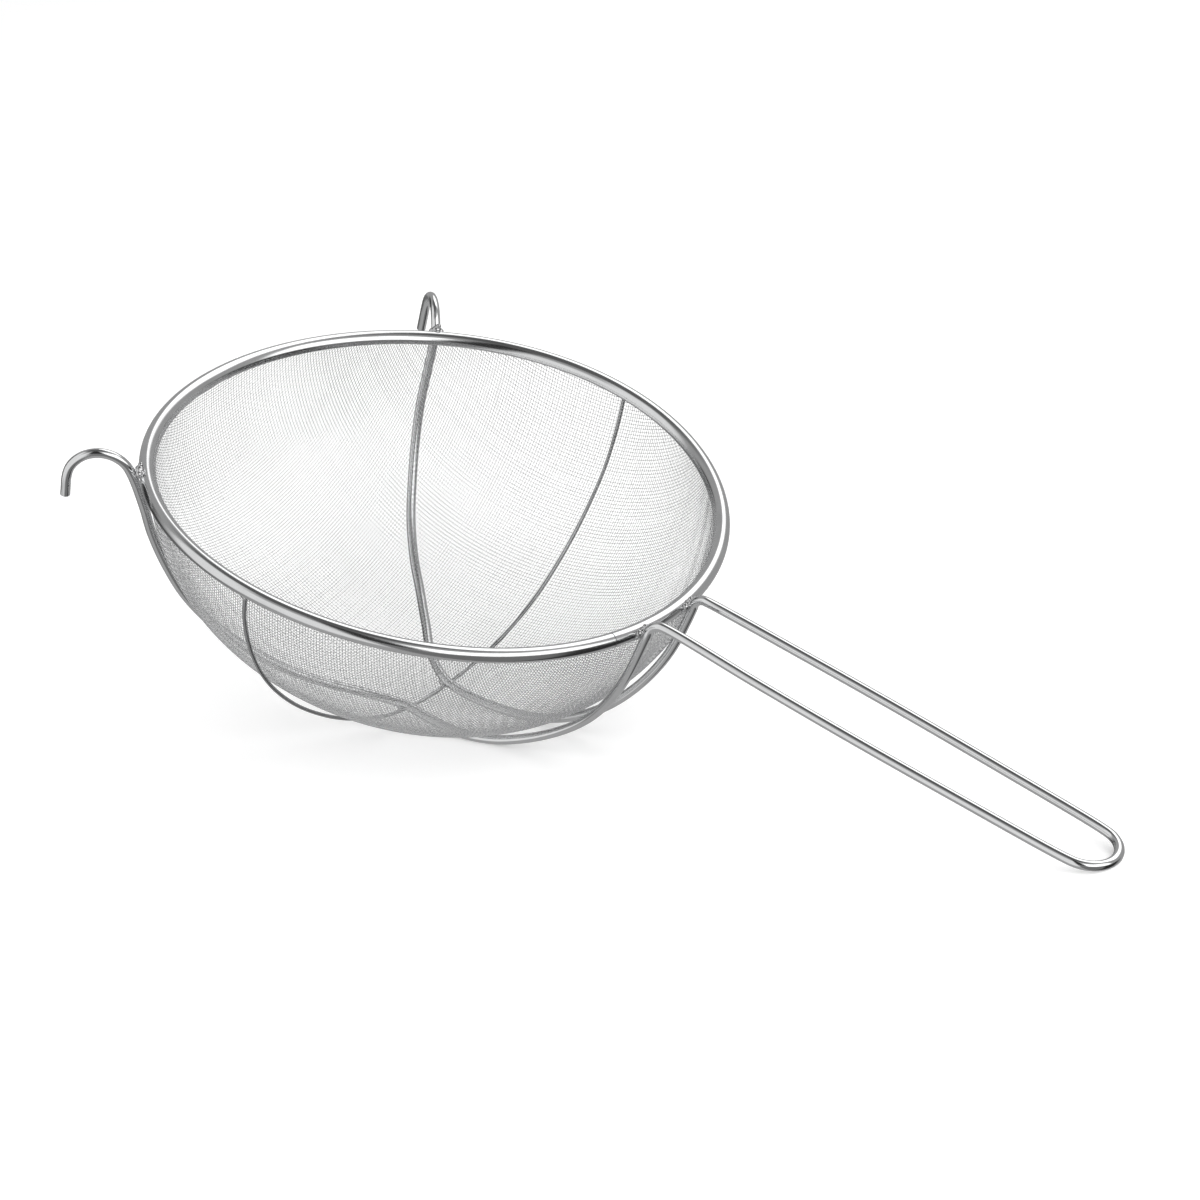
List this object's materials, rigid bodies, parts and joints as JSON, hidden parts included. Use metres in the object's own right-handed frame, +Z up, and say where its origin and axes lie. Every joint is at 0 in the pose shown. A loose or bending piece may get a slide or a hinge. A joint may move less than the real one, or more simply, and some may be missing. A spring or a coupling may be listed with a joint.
{
  "type": "bowl strainer",
  "caption": "Round fine-mesh bowl strainer with a rolled rim, wire ribs under the bowl, pot hooks and a long wire loop handle, for draining and sifting food.",
  "frame": {"origin": "on the table under the middle of the strainer's overall box, as it rests on its ribs and handle end", "axes": "+X along the handle away from the bowl, +Z up from the table, +Y to the side"},
  "size_m": [0.4316, 0.244, 0.1502],
  "materials": {
    "rim_steel": "rolled stainless strip, polished",
    "wire_steel": "bright drawn stainless wire",
    "mesh_steel": "plain-weave stainless wire cloth",
    "weld_steel": "spot weld, slightly dulled"
  },
  "bodies": {
    "root": {"rim_band": "rim_steel", "rim_core_wire": "wire_steel", "mesh_bowl": "mesh_steel", "cross_wire": "wire_steel", "hook_left": "wire_steel", "hook_right": "wire_steel", "rib_hook_side_left": "wire_steel", "rib_hook_side_right": "wire_steel", "rib_handle_side_left": "wire_steel", "rib_handle_side_right": "wire_steel", "handle_bend_left": "wire_steel", "handle_bend_right": "wire_steel", "handle_arm_left": "wire_steel", "handle_arm_right": "wire_steel", "handle_end": "wire_steel", "weld_hook_left": "weld_steel", "weld_hook_right": "weld_steel", "weld_handle_left": "weld_steel", "weld_handle_right": "weld_steel", "weld_crossing_left": "weld_steel", "weld_crossing_right": "weld_steel", "weld_cross_end_left": "weld_steel", "weld_cross_end_right": "weld_steel"}
  },
  "joints": []
}
